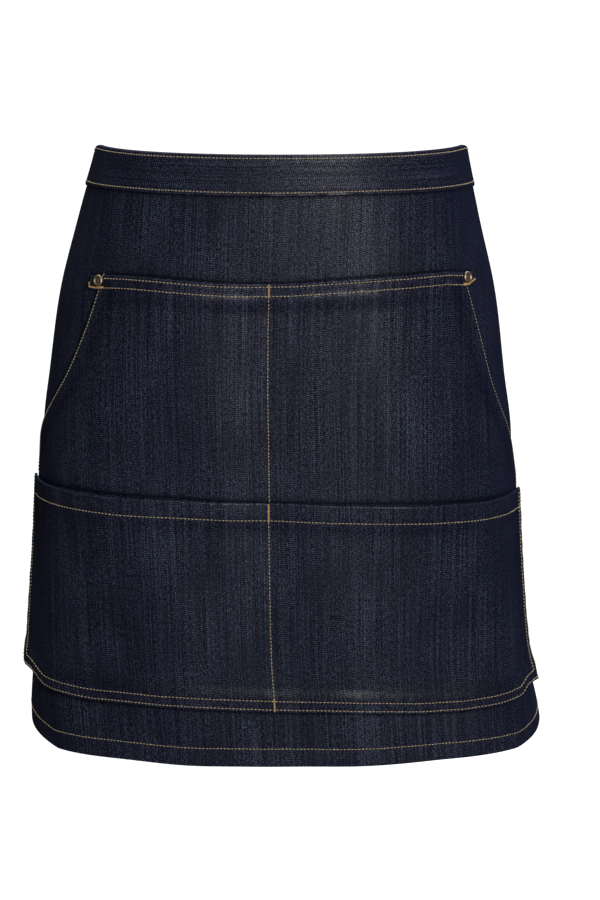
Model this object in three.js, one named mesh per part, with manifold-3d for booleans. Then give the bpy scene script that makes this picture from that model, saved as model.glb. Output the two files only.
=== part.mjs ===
// Waist apron in raw denim, worn round the hips: a folded waistband closed behind by a plain strap,
// one main panel, and two full-width patch pockets sewn one over the other, with two corner rivets.
//
// Millimetres, +Z up. The wearer faces -Y, and +X is to the right of someone looking at the front.
// The origin is the middle of the waist loop, level with the waistband's top edge in front.
//
// Every piece is cut in flat cloth first. A place in the cloth is (across, down): across is measured
// round the body from the middle of the front, down from the top of the waistband. drape() hangs that
// place on the body's outline, and its last value moves it out of the cloth's outer face.

import * as THREE from 'three';
import Module from 'manifold-3d';
import { mergeVertices } from 'three/addons/utils/BufferGeometryUtils.js';

const wasm = await Module();
wasm.setup();

// The body that the cloth hangs on
const waistWidth = 295;
const hemWidth = 428;
const frontDepth = 116;
const backDepth = 112;
const backDip = 26;
const dipLead = 34;
const pocketLean = 8;
const sideAcross = 252;
const sideLift = 12;
const sideLiftReach = 48;
const hemLiftReach = 54;

// The cloth
const cloth = 1.2;
const layerGap = 0.3;
const pocketGap = 0.45;
const foldStep = 1.5;

// Waistband and the strap that closes it
const bandHeight = 33;
const bandOverlap = 14;
const tieInset = 4.5;
const backOpening = 112;

// Main panel
const apronLength = 488.5;
const sideHem = 12;
const bottomHem = 15;

// Pockets
const pocketWidth = 492;
const pocketShift = -6;
const pocketAboveHem = 46.5;
const pocketSeam = 10;
const mouthHem = 13.5;
const dividerOffset = -7;
const upperMouthDrop = 97.5;
const upperMouthWidth = 305;
const upperMouthShift = 7.5;
const upperEarDrop = 10.5;
const upperEarReach = 9;
const slantAboveMouth = 10.5;
const upperSlack = 6;
const lowerPocketDepth = 170;
const lowerSlack = 8;

// Rivets at the upper pocket's mouth
const rivetCapRadius = 4.6;
const rivetCapRim = 0.9;
const rivetCapCrown = 1.1;
const rivetShankRadius = 1.5;
const rivetBackRadius = 3.6;
const rivetBackThickness = 0.8;
const rivetHoleClearance = 0.3;
const rivetBackGap = 0.7;
const rivetDown = 4;
const rivetIn = 1.5;

// Body outline from waist to hem. down: share of the apron's length. flare: share of the way from the
// waist's width to the hem's. shift: sideways, share of the hem's width. depth: share of the front depth.
// square: exponent of the front curve, where 2 is an ellipse. lean: share of the pockets' lean.
const bodyTable = [
  { down: 0.000, flare: 0.000, shift: 0.001, depth: 1.000, square: 2.20, lean: 0.00 },
  { down: 0.115, flare: 0.202, shift: -0.004, depth: 0.995, square: 2.33, lean: 0.00 },
  { down: 0.237, flare: 0.410, shift: -0.008, depth: 0.988, square: 2.44, lean: -0.30 },
  { down: 0.380, flare: 0.572, shift: -0.010, depth: 0.980, square: 2.54, lean: 0.25 },
  { down: 0.450, flare: 0.650, shift: -0.009, depth: 0.980, square: 2.58, lean: 0.65 },
  { down: 0.524, flare: 0.672, shift: -0.008, depth: 0.980, square: 2.60, lean: 0.95 },
  { down: 0.667, flare: 0.744, shift: -0.006, depth: 0.985, square: 2.58, lean: 1.00 },
  { down: 0.810, flare: 0.848, shift: -0.003, depth: 0.992, square: 2.56, lean: 1.00 },
  { down: 0.880, flare: 0.898, shift: 0.002, depth: 0.997, square: 2.55, lean: 0.95 },
  { down: 0.940, flare: 0.962, shift: 0.006, depth: 1.001, square: 2.48, lean: 0.45 },
  { down: 1.000, flare: 1.000, shift: 0.010, depth: 1.004, square: 2.38, lean: -0.15 },
];

// Soft folds of the hanging cloth. across: share of half the panel's width. width: share of that width.
// out: millimetres at the hem. from: share of the length where the fold begins.
const foldTable = [
  { across: -0.43, width: 0.11, out: -2.6, from: 0.15 },
  { across: -0.20, width: 0.08, out: 1.4, from: 0.45 },
  { across: 0.12, width: 0.10, out: 1.6, from: 0.30 },
  { across: 0.37, width: 0.07, out: -2.2, from: 0.20 },
  { across: 0.53, width: 0.09, out: 1.8, from: 0.40 },
  { across: 0.88, width: 0.09, out: -4.0, from: 0.30 },
  { across: -0.88, width: 0.09, out: -4.0, from: 0.30 },
];

// Slanted sides of the upper pocket. fall: share of the slant's depth. reach: share of the way out from
// the mouth's half width to the pocket's. shift: share of the way from the pockets' shift to the mouth's.
const slantTable = [
  { fall: 0.000, reach: 0.000, shift: 1.00 },
  { fall: 0.175, reach: 0.101, shift: 0.97 },
  { fall: 0.320, reach: 0.197, shift: 0.86 },
  { fall: 0.470, reach: 0.309, shift: 0.69 },
  { fall: 0.600, reach: 0.442, shift: 0.55 },
  { fall: 0.730, reach: 0.612, shift: 0.43 },
  { fall: 0.860, reach: 0.795, shift: 0.26 },
  { fall: 1.000, reach: 1.000, shift: 0.00 },
];

// Worked out from the sizes above
const pocketLeft = pocketShift - pocketWidth / 2;
const pocketRight = pocketShift + pocketWidth / 2;
const pocketFloor = apronLength - pocketAboveHem;
const lowerMouthDrop = pocketFloor - lowerPocketDepth;
const slantStart = upperMouthDrop + upperEarDrop;
const slantDepth = lowerMouthDrop - slantAboveMouth - slantStart;
const seamFace = pocketGap + 2 * cloth;

// A smooth reading of one column of a table, at a value of its key column
function readTable(table, key, at, column) {
  let i = 1;
  while (i < table.length - 1 && table[i][key] < at) i += 1;
  const low = table[i - 1];
  const high = table[i];
  const before = table[Math.max(i - 2, 0)];
  const after = table[Math.min(i + 1, table.length - 1)];
  const span = high[key] - low[key];
  const u = THREE.MathUtils.clamp((at - low[key]) / span, 0, 1);
  const slopeLow = ((high[column] - before[column]) / (high[key] - before[key])) * span;
  const slopeHigh = ((after[column] - low[column]) / (after[key] - low[key])) * span;
  const rise = high[column] - low[column];
  const square = 3 * rise - 2 * slopeLow - slopeHigh;
  const cube = slopeLow + slopeHigh - 2 * rise;
  return low[column] + u * (slopeLow + u * (square + u * cube));
}

function evenly(from, to, steps) {
  return Array.from({ length: steps + 1 }, (_, i) => from + ((to - from) * i) / steps);
}

// The right half of the body's outline at one height, from the middle of the front to the middle of
// the back, with the outward direction and the way round so far at each point
const outlineSteps = 180;
const outlines = new Map();

function bodyOutline(down) {
  if (outlines.has(down)) return outlines.get(down);
  const share = down / apronLength;
  const half = (waistWidth + (hemWidth - waistWidth) * readTable(bodyTable, 'down', share, 'flare')) / 2;
  const front = frontDepth * readTable(bodyTable, 'down', share, 'depth');
  const square = readTable(bodyTable, 'down', share, 'square');
  const points = evenly(0, Math.PI, outlineSteps).map((turn) => {
    const power = turn < Math.PI / 2 ? 2 / square : 1;
    const depth = turn < Math.PI / 2 ? front : backDepth;
    const x = half * Math.max(Math.sin(turn), 0) ** power;
    const y = -Math.sign(Math.cos(turn)) * depth * Math.abs(Math.cos(turn)) ** power;
    return new THREE.Vector2(x, y);
  });
  const around = [0];
  for (let i = 1; i < points.length; i += 1) around.push(around[i - 1] + points[i].distanceTo(points[i - 1]));
  const outward = points.map((point, i) => {
    const ahead = points[Math.min(i + 1, outlineSteps)];
    const behind = points[Math.max(i - 1, 0)];
    const way = ahead.clone().sub(behind);
    if (i === 0) return new THREE.Vector2(0, -1);
    if (i === outlineSteps) return new THREE.Vector2(0, 1);
    return new THREE.Vector2(way.y, -way.x).normalize();
  });
  const shift = hemWidth * readTable(bodyTable, 'down', share, 'shift');
  const outline = { points, around, outward, shift };
  outlines.set(down, outline);
  return outline;
}

// The cloth goes round the waist but for the opening behind, which the strap closes
const waistHalf = bodyOutline(0).around[outlineSteps];
const bandHalf = waistHalf - backOpening / 2;
const panelHalf = bandHalf - bandOverlap;

function foldOut(across, down) {
  return foldTable.reduce((sum, fold) => {
    const away = (across / panelHalf - fold.across) / fold.width;
    const grown = THREE.MathUtils.smoothstep(down / apronLength, fold.from, 1);
    return sum + fold.out * grown * Math.exp(-away * away);
  }, 0);
}

// How far a place behind the middle of the side hangs below the front. At the waist the dip starts a
// lead before the side, and it loses that lead below the waistband.
function dipAt(depth, down) {
  const softness = 10;
  const lead = dipLead * (1 - THREE.MathUtils.smoothstep(down, 0, 3 * bandHeight));
  const behind = Math.max(depth + lead, 0);
  return (backDip * behind * behind) / ((backDepth + lead) * (behind + softness));
}

// How far the pockets' level falls to the right of the middle, and a share of it alike on both sides
function leanAt(across, down) {
  const alike = 0.38;
  const sideways = THREE.MathUtils.clamp(across / sideAcross, -1, 1);
  const level = (1 - alike) * sideways + alike * sideways * sideways;
  return pocketLean * readTable(bodyTable, 'down', down / apronLength, 'lean') * level;
}

// How far the flared hip pulls the cloth up at the sides: not at all above the lower pocket's middle,
// all of it from the pockets' floor to the hem, where it also begins further in
function liftAt(across, down) {
  const grown = THREE.MathUtils.smoothstep(down, pocketFloor - lowerPocketDepth / 2, pocketFloor - pocketSeam);
  const low = THREE.MathUtils.smoothstep(down, pocketFloor, apronLength);
  const reach = THREE.MathUtils.lerp(sideLiftReach, hemLiftReach, low);
  const past = (Math.abs(across) - (sideAcross - reach)) / reach;
  return sideLift * THREE.MathUtils.clamp(past, 0, 1) * grown;
}

// A place in the flat cloth, hung on the body, as much as out proud of the cloth's outer face
function drape(across, flatDown, out) {
  const down = flatDown - liftAt(across, flatDown);
  const outline = bodyOutline(down);
  const { points, around, outward } = outline;
  const way = Math.min(Math.abs(across), around[outlineSteps]);
  let i = 1;
  while (i < outlineSteps && around[i] < way) i += 1;
  const part = (way - around[i - 1]) / (around[i] - around[i - 1]);
  const point = points[i - 1].clone().lerp(points[i], part);
  const normal = outward[i - 1].clone().lerp(outward[i], part).normalize();
  point.addScaledVector(normal, out + foldOut(across, down));
  const side = Math.sign(across) || 1;
  const height = -down - leanAt(across, down) - dipAt(point.y, down);
  return new THREE.Vector3(side * point.x + outline.shift, point.y, height);
}

// A closed sheet between two faces. place(column, row, face) gives a point, with face 0 outside and 1 inside.
// Each face is halved from its upper left to its lower right, or the other way where halve(column, row) says.
function sheetGeometry(columns, rows, place, halve = () => false) {
  const corners = [];
  for (const face of [0, 1]) {
    for (let row = 0; row < rows; row += 1) {
      for (let column = 0; column < columns; column += 1) corners.push(place(column, row, face));
    }
  }
  const at = (column, row, face) => (face * rows + row) * columns + column;
  const faces = [];
  const quad = (a, b, c, d) => faces.push(a, b, c, a, c, d);
  for (let row = 0; row + 1 < rows; row += 1) {
    for (let column = 0; column + 1 < columns; column += 1) {
      const ring = (face) => [at(column, row, face), at(column, row + 1, face),
        at(column + 1, row + 1, face), at(column + 1, row, face)];
      const [a, b, c, d] = ring(0);
      const [e, f, g, h] = ring(1);
      if (halve(column, row)) {
        quad(b, c, d, a);
        quad(f, e, h, g);
      } else {
        quad(a, b, c, d);
        quad(e, h, g, f);
      }
    }
  }
  for (let row = 0; row + 1 < rows; row += 1) {
    quad(at(0, row, 0), at(0, row, 1), at(0, row + 1, 1), at(0, row + 1, 0));
    const last = columns - 1;
    quad(at(last, row, 0), at(last, row + 1, 0), at(last, row + 1, 1), at(last, row, 1));
  }
  for (let column = 0; column + 1 < columns; column += 1) {
    quad(at(column, 0, 0), at(column + 1, 0, 0), at(column + 1, 0, 1), at(column, 0, 1));
    const last = rows - 1;
    quad(at(column, last, 0), at(column, last, 1), at(column + 1, last, 1), at(column + 1, last, 0));
  }
  const geometry = new THREE.BufferGeometry();
  geometry.setAttribute('position', new THREE.Float32BufferAttribute(corners.flatMap((p) => p.toArray()), 3));
  geometry.setIndex(faces);
  return geometry;
}

// A closed loop of (out, down) places swept along a list of across values. Each face is halved along the
// same diagonal as in sheetGeometry, so that layers side by side keep their gap where the cloth twists.
function sweptGeometry(stations, profile) {
  const corners = stations.flatMap((across) => profile.map((p) => drape(across, p.down, p.out)));
  const count = profile.length;
  const faces = [];
  for (let i = 0; i + 1 < stations.length; i += 1) {
    for (let k = 0; k < count; k += 1) {
      const next = (k + 1) % count;
      const a = i * count + k;
      const b = i * count + next;
      if (profile[next].down < profile[k].down) faces.push(a, b, a + count, b, b + count, a + count);
      else faces.push(a, b, b + count, a, b + count, a + count);
    }
  }
  const caps = THREE.ShapeUtils.triangulateShape(profile.map((p) => new THREE.Vector2(p.out, p.down)), []);
  const lastRing = (stations.length - 1) * count;
  for (const [a, b, c] of caps) {
    faces.push(a, c, b);
    faces.push(lastRing + a, lastRing + b, lastRing + c);
  }
  const geometry = new THREE.BufferGeometry();
  geometry.setAttribute('position', new THREE.Float32BufferAttribute(corners.flatMap((p) => p.toArray()), 3));
  geometry.setIndex(faces);
  return geometry;
}

function signedVolume(geometry) {
  const place = geometry.attributes.position;
  const index = geometry.index;
  const [a, b, c] = [new THREE.Vector3(), new THREE.Vector3(), new THREE.Vector3()];
  let sum = 0;
  for (let i = 0; i < index.count; i += 3) {
    a.fromBufferAttribute(place, index.getX(i));
    b.fromBufferAttribute(place, index.getX(i + 1));
    c.fromBufferAttribute(place, index.getX(i + 2));
    sum += a.dot(b.cross(c)) / 6;
  }
  return sum;
}

// Turns every face of a sheet over if its faces point inwards
function facingOut(geometry) {
  if (signedVolume(geometry) > 0) return geometry;
  const turned = Array.from(geometry.index.array).reverse();
  geometry.setIndex(turned);
  return geometry;
}

// Across values of the pockets: both seams, the divider, and steps between them that are wide where the
// body is flat and narrow where it turns to the side
const flatShare = 0.42;
const flatSteps = 5;
const turnSteps = 12;

function pocketStations(left, right) {
  const room = (seamEnd) => {
    const shoulder = THREE.MathUtils.lerp(dividerOffset, seamEnd, flatShare);
    return [...evenly(dividerOffset, shoulder, flatSteps), ...evenly(shoulder, seamEnd, turnSteps).slice(1)];
  };
  const leftRoom = room(left + pocketSeam + foldStep).reverse();
  const rightRoom = room(right - pocketSeam - foldStep).slice(1);
  return [left, left + pocketSeam, ...leftRoom, ...rightRoom, right - pocketSeam, right];
}

// Left and right sides of the upper pocket at a drop, with the small ear above each slant
function upperSides(down) {
  const fall = (down - slantStart) / slantDepth;
  const mouthHalf = upperMouthWidth / 2;
  const reach = readTable(slantTable, 'fall', fall, 'reach');
  const half = mouthHalf + (pocketWidth / 2 - mouthHalf) * reach + (fall < -0.001 ? upperEarReach : 0);
  const share = readTable(slantTable, 'fall', fall, 'shift');
  const shift = THREE.MathUtils.lerp(pocketShift, upperMouthShift, share);
  return { left: shift - half, right: shift + half };
}

// Slack of a pocket over what lies under it: none at the seams and the divider, most halfway between
function slackAt(across, left, right) {
  const side = across < dividerOffset ? left + pocketSeam : right - pocketSeam;
  const share = THREE.MathUtils.clamp((across - dividerOffset) / (side - dividerOffset), 0, 1);
  return Math.sin(Math.PI * share) ** 1.3;
}

// Where the cloth is doubled, 1 along the seams, the floor and the mouth's hem, and 0 in the open cloth
function doubled(across, down, left, right, mouth) {
  const softness = 9;
  const fromEdge = Math.min(across - left, right - across, pocketFloor - down);
  const seam = 1 - THREE.MathUtils.smoothstep(fromEdge, pocketSeam + foldStep, pocketSeam + foldStep + softness);
  const fromMouth = down - mouth;
  const hem = 1 - THREE.MathUtils.smoothstep(fromMouth, mouthHem + foldStep, mouthHem + foldStep + softness);
  return Math.max(seam, hem);
}

// Distance from the panel's outer face to the outer face of the upper pocket's cloth
function upperFace(across, down) {
  const { left, right } = upperSides(down);
  const fall = THREE.MathUtils.clamp((down - upperMouthDrop) / (pocketFloor - upperMouthDrop), 0, 1);
  const slack = upperSlack * slackAt(across, left, right) * (1 - fall) ** 1.5;
  return pocketGap + cloth + cloth * doubled(across, down, left, right, upperMouthDrop) + slack;
}

// The same for the lower pocket, which lies on the upper one
function lowerFace(across, down) {
  const fall = THREE.MathUtils.clamp((down - lowerMouthDrop) / lowerPocketDepth, 0, 1);
  const slack = lowerSlack * slackAt(across, pocketLeft, pocketRight) * (1 - fall) ** 1.2;
  const fold = cloth * doubled(across, down, pocketLeft, pocketRight, lowerMouthDrop);
  return upperFace(across, down) + pocketGap + cloth + fold + slack;
}

// Drops of the rows that both pockets share, from the lower mouth to the floor
function sharedDrops() {
  const hem = lowerMouthDrop + mouthHem;
  const seam = pocketFloor - pocketSeam;
  return [lowerMouthDrop, hem, ...evenly(hem + foldStep, seam - foldStep, 5), seam, pocketFloor];
}

function pocketSheet(drops, mouth, sidesAt, faceAt) {
  const grid = drops.map((down) => {
    const { left, right } = sidesAt(down);
    return pocketStations(left, right).map((across) => ({ across, down, left, right }));
  });
  const place = (column, row, face) => {
    const { across, down, left, right } = grid[row][column];
    const fromEdge = Math.min(across - left, right - across, pocketFloor - down);
    const folded = fromEdge < pocketSeam + 0.01 || down - mouth < mouthHem + 0.01;
    const outer = faceAt(across, down);
    const out = face === 0 ? outer : outer - (folded ? 2 : 1) * cloth;
    return drape(across, down, out);
  };
  const slantsRight = (column, row) => grid[row + 1][column].across - grid[row][column].across > 1;
  return facingOut(sheetGeometry(grid[0].length, drops.length, place, slantsRight));
}

function upperPocketGeometry() {
  const hem = upperMouthDrop + mouthHem;
  const earRound = 0.6;
  const slantRows = 9;
  const crowding = 0.62;
  const slant = evenly(0, 1, slantRows).slice(1).map((share) => slantStart + slantDepth * share ** crowding);
  const drops = [upperMouthDrop, slantStart - earRound, slantStart + earRound, hem, hem + foldStep,
    ...slant, ...sharedDrops()];
  drops.sort((a, b) => a - b);
  return pocketSheet(drops, upperMouthDrop, upperSides, upperFace);
}

function lowerPocketGeometry() {
  const sides = () => ({ left: pocketLeft, right: pocketRight });
  return pocketSheet(sharedDrops(), lowerMouthDrop, sides, lowerFace);
}

// Across values of the main panel, which the waistband shares so that their faces stay side by side
function panelStations() {
  const sideSteps = 6;
  const sideFrom = (edge) => [
    ...evenly(edge, panelHalf - sideHem - foldStep, sideSteps).slice(1),
    panelHalf - sideHem,
    panelHalf,
  ];
  const leftSide = sideFrom(-pocketLeft).map((across) => -across).reverse();
  return [...leftSide, ...pocketStations(pocketLeft, pocketRight), ...sideFrom(pocketRight)];
}

// The panel's top edge is tucked into the waistband. Its hems are turned to the inside.
function mainPanelGeometry() {
  const tuckedTop = 3;
  const stations = panelStations();
  const belowBand = bandHeight + layerGap;
  const hem = apronLength - bottomHem;
  const drops = [tuckedTop, belowBand, belowBand + foldStep,
    ...evenly(belowBand + foldStep, lowerMouthDrop, 6).slice(1), ...evenly(lowerMouthDrop, hem - foldStep, 8).slice(1),
    hem, apronLength];
  const place = (column, row, face) => {
    const across = stations[column];
    const down = drops[row];
    const inSide = panelHalf - Math.abs(across) < sideHem + 0.01 && down > belowBand + 0.01;
    const folded = inSide || apronLength - down < bottomHem + 0.01;
    return drape(across, down, face === 0 ? 0 : -(folded ? 2 : 1) * cloth);
  };
  return facingOut(sheetGeometry(stations.length, drops.length, place));
}

// One strip folded over the panel's top edge: an outer and an inner layer, joined along the top
function waistbandGeometry() {
  const outer = layerGap + cloth;
  const inner = -2 * cloth - layerGap;
  const topRound = 1.1;
  const profile = [
    { out: outer, down: bandHeight },
    { out: layerGap, down: bandHeight },
    { out: layerGap, down: cloth + topRound },
    { out: -cloth - layerGap, down: cloth + topRound },
    { out: -cloth - layerGap, down: bandHeight },
    { out: inner, down: bandHeight },
    { out: inner, down: topRound },
    { out: inner + topRound, down: 0 },
    { out: outer - topRound, down: 0 },
    { out: outer, down: topRound },
  ];
  const ends = [panelHalf + bandOverlap / 2, bandHalf];
  const stations = [...ends.map((across) => -across).reverse(), ...panelStations(), ...ends];
  return facingOut(sweptGeometry(stations, profile));
}

// The strap that closes the loop behind: it lies in the band's open ends and passes round the back
function backTieGeometry() {
  const start = panelHalf + 2 * layerGap;
  const stations = evenly(start, 2 * waistHalf - start, 22);
  const rows = [tieInset, bandHeight / 2, bandHeight - tieInset];
  const place = (column, row, face) => {
    const way = stations[column];
    const across = way <= waistHalf ? way : way - 2 * waistHalf;
    const halfAt = bodyOutline(rows[row]).around[outlineSteps];
    const scaled = across * THREE.MathUtils.lerp(1, halfAt / waistHalf, tieBlend(Math.abs(across), start, waistHalf));
    return drape(scaled, rows[row], face === 0 ? 0 : -cloth);
  };
  return facingOut(sheetGeometry(stations.length, rows.length, place));
}

// 0 at the strap's end and 1 at the middle of the back, so that both halves meet where the outline closes
function tieBlend(way, start, end) {
  return THREE.MathUtils.clamp((way - start) / (end - start), 0, 1);
}

// Where a rivet sits on the upper pocket: its place and the way its cap faces
function rivetSeat(side) {
  const { left, right } = upperSides(upperMouthDrop + upperEarDrop);
  const across = side < 0 ? left + rivetIn : right - rivetIn;
  const down = upperMouthDrop + rivetDown;
  const step = 2;
  const face = upperFace(across, down);
  const point = drape(across, down, face);
  const sideways = drape(across + step, down, face).sub(drape(across - step, down, face));
  const downwards = drape(across, down + step, face).sub(drape(across, down - step, face));
  return { point, normal: downwards.cross(sideways).normalize() };
}

function seatMatrix(side) {
  const { point, normal } = rivetSeat(side);
  const turn = new THREE.Quaternion().setFromUnitVectors(new THREE.Vector3(0, 1, 0), normal);
  return new THREE.Matrix4().compose(point, turn, new THREE.Vector3(1, 1, 1));
}

// A domed cap, its shank through the layers, and the round back inside the panel
const rivetSides = 14;

function rivetGeometry(side) {
  const seat = layerGap;
  const back = -(seamFace + cloth + rivetBackGap + rivetBackThickness);
  const crown = evenly(0, Math.PI / 2, 4).map((turn) => new THREE.Vector2(
    rivetCapRadius * Math.cos(turn),
    seat + rivetCapRim + rivetCapCrown * Math.sin(turn),
  ));
  const profile = [
    new THREE.Vector2(0, back),
    new THREE.Vector2(rivetBackRadius, back),
    new THREE.Vector2(rivetBackRadius, back + rivetBackThickness),
    new THREE.Vector2(rivetShankRadius, back + rivetBackThickness),
    new THREE.Vector2(rivetShankRadius, seat),
    new THREE.Vector2(rivetCapRadius, seat),
    ...crown,
  ];
  profile[profile.length - 1].x = 0;
  return new THREE.LatheGeometry(profile, rivetSides).applyMatrix4(seatMatrix(side));
}

function toSolid(geometry) {
  const bare = new THREE.BufferGeometry();
  bare.setAttribute('position', geometry.attributes.position.clone());
  if (geometry.index) bare.setIndex(geometry.index.clone());
  const merged = mergeVertices(bare, 1e-4);
  return new wasm.Manifold(new wasm.Mesh({
    numProp: 3,
    vertProperties: new Float32Array(merged.attributes.position.array),
    triVerts: new Uint32Array(merged.index.array),
  }));
}

// Cuts a round hole for each rivet's shank through a sheet
function punched(geometry) {
  const reach = 12;
  const holeRadius = rivetShankRadius + rivetHoleClearance;
  let solid = toSolid(geometry);
  for (const side of [-1, 1]) {
    const punch = new THREE.CylinderGeometry(holeRadius, holeRadius, 2 * reach, 10);
    solid = solid.subtract(toSolid(punch.applyMatrix4(seatMatrix(side))));
  }
  const mesh = solid.getMesh();
  const cut = new THREE.BufferGeometry();
  cut.setAttribute('position', new THREE.BufferAttribute(new Float32Array(mesh.vertProperties), 3));
  cut.setIndex(new THREE.BufferAttribute(new Uint32Array(mesh.triVerts), 1));
  return cut;
}

const denim = { color: 0x20222e, roughness: 0.92, metalness: 0 };
const brass = { color: 0x8a7350, roughness: 0.42, metalness: 1 };

function namedMesh(name, geometry, look) {
  const mesh = new THREE.Mesh(geometry, new THREE.MeshStandardMaterial(look));
  mesh.name = name;
  return mesh;
}

const apron = new THREE.Group();
const pockets = new THREE.Group();
pockets.add(namedMesh('upper_pocket', punched(upperPocketGeometry()), denim));
pockets.add(namedMesh('lower_pocket', lowerPocketGeometry(), denim));
pockets.add(namedMesh('rivet_left', rivetGeometry(-1), brass));
pockets.add(namedMesh('rivet_right', rivetGeometry(1), brass));
apron.add(namedMesh('main_panel', punched(mainPanelGeometry()), denim));
apron.add(namedMesh('waistband', waistbandGeometry(), denim));
apron.add(namedMesh('back_tie', backTieGeometry(), denim));
apron.add(pockets);

export default apron;
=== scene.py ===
import math
import bmesh
import bpy
import numpy as np
from mathutils import Matrix, Vector


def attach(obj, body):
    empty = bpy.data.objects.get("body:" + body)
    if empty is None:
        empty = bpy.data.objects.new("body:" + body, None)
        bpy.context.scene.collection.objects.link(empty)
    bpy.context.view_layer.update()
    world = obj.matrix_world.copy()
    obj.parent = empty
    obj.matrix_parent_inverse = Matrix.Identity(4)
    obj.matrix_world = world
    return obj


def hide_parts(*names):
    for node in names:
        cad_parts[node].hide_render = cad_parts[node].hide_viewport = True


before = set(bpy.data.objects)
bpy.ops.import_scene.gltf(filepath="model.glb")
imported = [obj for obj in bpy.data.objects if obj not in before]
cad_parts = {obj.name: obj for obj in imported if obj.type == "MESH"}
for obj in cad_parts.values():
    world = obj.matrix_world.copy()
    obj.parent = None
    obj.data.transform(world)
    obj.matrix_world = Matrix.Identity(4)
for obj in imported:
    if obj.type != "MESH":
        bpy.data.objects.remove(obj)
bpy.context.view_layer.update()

# A waist apron in raw denim, worn round an absent waist. Every cloth piece is laid out flat first, as
# (across, down) in metres: across from the middle of the front, down from the waistband's top edge.
# drape() hangs a flat place on the body's outline, out metres proud of the main panel's outer face.

body = {
    "waistWidth": 0.295, "hemWidth": 0.428, "frontDepth": 0.116, "backDepth": 0.112, "backDip": 0.026,
    "dipLead": 0.034, "dipSoftness": 0.010, "pocketLean": 0.008, "leanAlike": 0.38, "sideAcross": 0.252,
    "sideLift": 0.012, "sideLiftReach": 0.048, "hemLiftReach": 0.054, "length": 0.4885, "cloth": 0.0012,
    "layerGap": 0.0003, "pocketGap": 0.00045, "foldStep": 0.0015,
}

# down, flare, shift, depth, square, lean: all shares but square, the front curve's exponent
bodyRows = np.array([
    (0.000, 0.000, 0.001, 1.000, 2.20, 0.00),
    (0.115, 0.202, -0.004, 0.995, 2.33, 0.00),
    (0.237, 0.410, -0.008, 0.988, 2.44, -0.30),
    (0.380, 0.572, -0.010, 0.980, 2.54, 0.25),
    (0.450, 0.650, -0.009, 0.980, 2.58, 0.65),
    (0.524, 0.672, -0.008, 0.980, 2.60, 0.95),
    (0.667, 0.744, -0.006, 0.985, 2.58, 1.00),
    (0.810, 0.848, -0.003, 0.992, 2.56, 1.00),
    (0.880, 0.898, 0.002, 0.997, 2.55, 0.95),
    (0.940, 0.962, 0.006, 1.001, 2.48, 0.45),
    (1.000, 1.000, 0.010, 1.004, 2.38, -0.15),
])
bodyColumn = {"flare": 1, "shift": 2, "depth": 3, "square": 4, "lean": 5}

# across, width (shares of half the panel's width), out at the hem in metres, share of the length it begins at
foldRows = [
    (-0.43, 0.11, -0.0026, 0.15),
    (-0.20, 0.08, 0.0014, 0.45),
    (0.12, 0.10, 0.0016, 0.30),
    (0.37, 0.07, -0.0022, 0.20),
    (0.53, 0.09, 0.0018, 0.40),
    (0.88, 0.09, -0.0040, 0.30),
    (-0.88, 0.09, -0.0040, 0.30),
]


def readRows(rows, at, column):
    key, value = rows[:, 0], rows[:, column]
    high = np.clip(np.searchsorted(key, at), 1, len(key) - 1)
    low, before, after = high - 1, np.maximum(high - 2, 0), np.minimum(high + 1, len(key) - 1)
    span = key[high] - key[low]
    u = np.clip((at - key[low]) / span, 0, 1)
    slopeLow = (value[high] - value[before]) / (key[high] - key[before]) * span
    slopeHigh = (value[after] - value[low]) / (key[after] - key[low]) * span
    rise = value[high] - value[low]
    bend = slopeLow + slopeHigh - 2 * rise
    return value[low] + u * (slopeLow + u * (3 * rise - 2 * slopeLow - slopeHigh + u * bend))


def ease(value, start, end):
    u = np.clip((value - start) / (end - start), 0, 1)
    return u * u * (3 - 2 * u)


def bodyValue(name, down):
    return readRows(bodyRows, down / body["length"], bodyColumn[name])


def travelAlong(x, y):
    return np.concatenate([[0], np.cumsum(np.hypot(np.diff(x), np.diff(y)))])


# The body's outline is worked out once, at every millimetre down and every millimetre round
formStep = 0.001
formDown = np.arange(-0.006, 0.5005, formStep)
formAround = np.arange(0, 0.6205, formStep)


def outlineAt(down):
    turn = np.linspace(0, math.pi, 1441)
    half = (body["waistWidth"] + (body["hemWidth"] - body["waistWidth"]) * bodyValue("flare", down)) / 2
    power = np.where(turn < math.pi / 2, 2 / bodyValue("square", down), 1.0)
    depth = np.where(turn < math.pi / 2, body["frontDepth"] * bodyValue("depth", down), body["backDepth"])
    x = half * np.maximum(np.sin(turn), 0) ** power
    y = -np.sign(np.cos(turn)) * depth * np.abs(np.cos(turn)) ** power
    around = travelAlong(x, y)
    return np.interp(formAround, around, x), np.interp(formAround, around, y), around[-1]


formX, formY, formHalf = [np.array(part) for part in zip(*[outlineAt(down) for down in formDown])]
wayX = np.gradient(formX, axis=1)
wayY = np.gradient(formY, axis=1)
wayX[:, 0], wayY[:, 0] = 1, 0
wayLength = np.maximum(np.hypot(wayX, wayY), 1e-9)
outwardX, outwardY = wayY / wayLength, -wayX / wayLength


def readForm(table, across, down):
    i = np.clip((down - formDown[0]) / formStep, 0, len(formDown) - 1.001)
    j = np.clip(np.abs(across) / formStep, 0, len(formAround) - 1.001)
    i0, j0 = i.astype(int), j.astype(int)
    u, v = i - i0, j - j0
    near = table[i0, j0] * (1 - v) + table[i0, j0 + 1] * v
    far = table[i0 + 1, j0] * (1 - v) + table[i0 + 1, j0 + 1] * v
    return near * (1 - u) + far * u


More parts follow.
